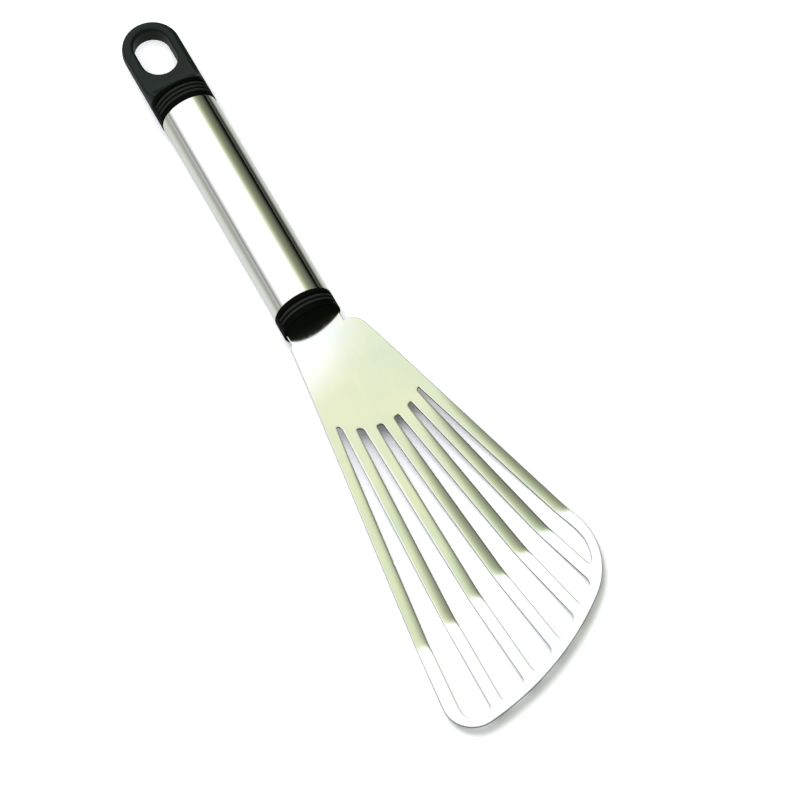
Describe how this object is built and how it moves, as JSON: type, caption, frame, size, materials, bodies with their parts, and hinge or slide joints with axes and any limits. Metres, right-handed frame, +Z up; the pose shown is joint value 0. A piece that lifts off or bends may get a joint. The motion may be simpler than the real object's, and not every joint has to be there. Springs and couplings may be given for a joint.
{
  "type": "fish spatula",
  "caption": "Slotted fish spatula with a flared, bent steel blade of fanned tines, a polished tube handle and black end pieces with a hanging loop, for turning and lifting fish.",
  "frame": {"origin": "middle of the box in plan, on the plane of the table that the spatula lies on", "axes": "+X along the handle's axis towards the blade's leading edge, +Y towards the side that the blade flares to, +Z up from the table"},
  "size_m": [0.327, 0.0832, 0.0246],
  "materials": {
    "blade_steel": "bright satin",
    "tube_steel": "mirror polished",
    "pin_steel": "plain drawn",
    "black_plastic": "fine moulded texture"
  },
  "bodies": {
    "root": {"slotted_blade": "blade_steel", "front_ferrule": "black_plastic", "handle_tube": "tube_steel", "end_cap": "black_plastic", "tang_pins": "pin_steel"}
  },
  "joints": []
}
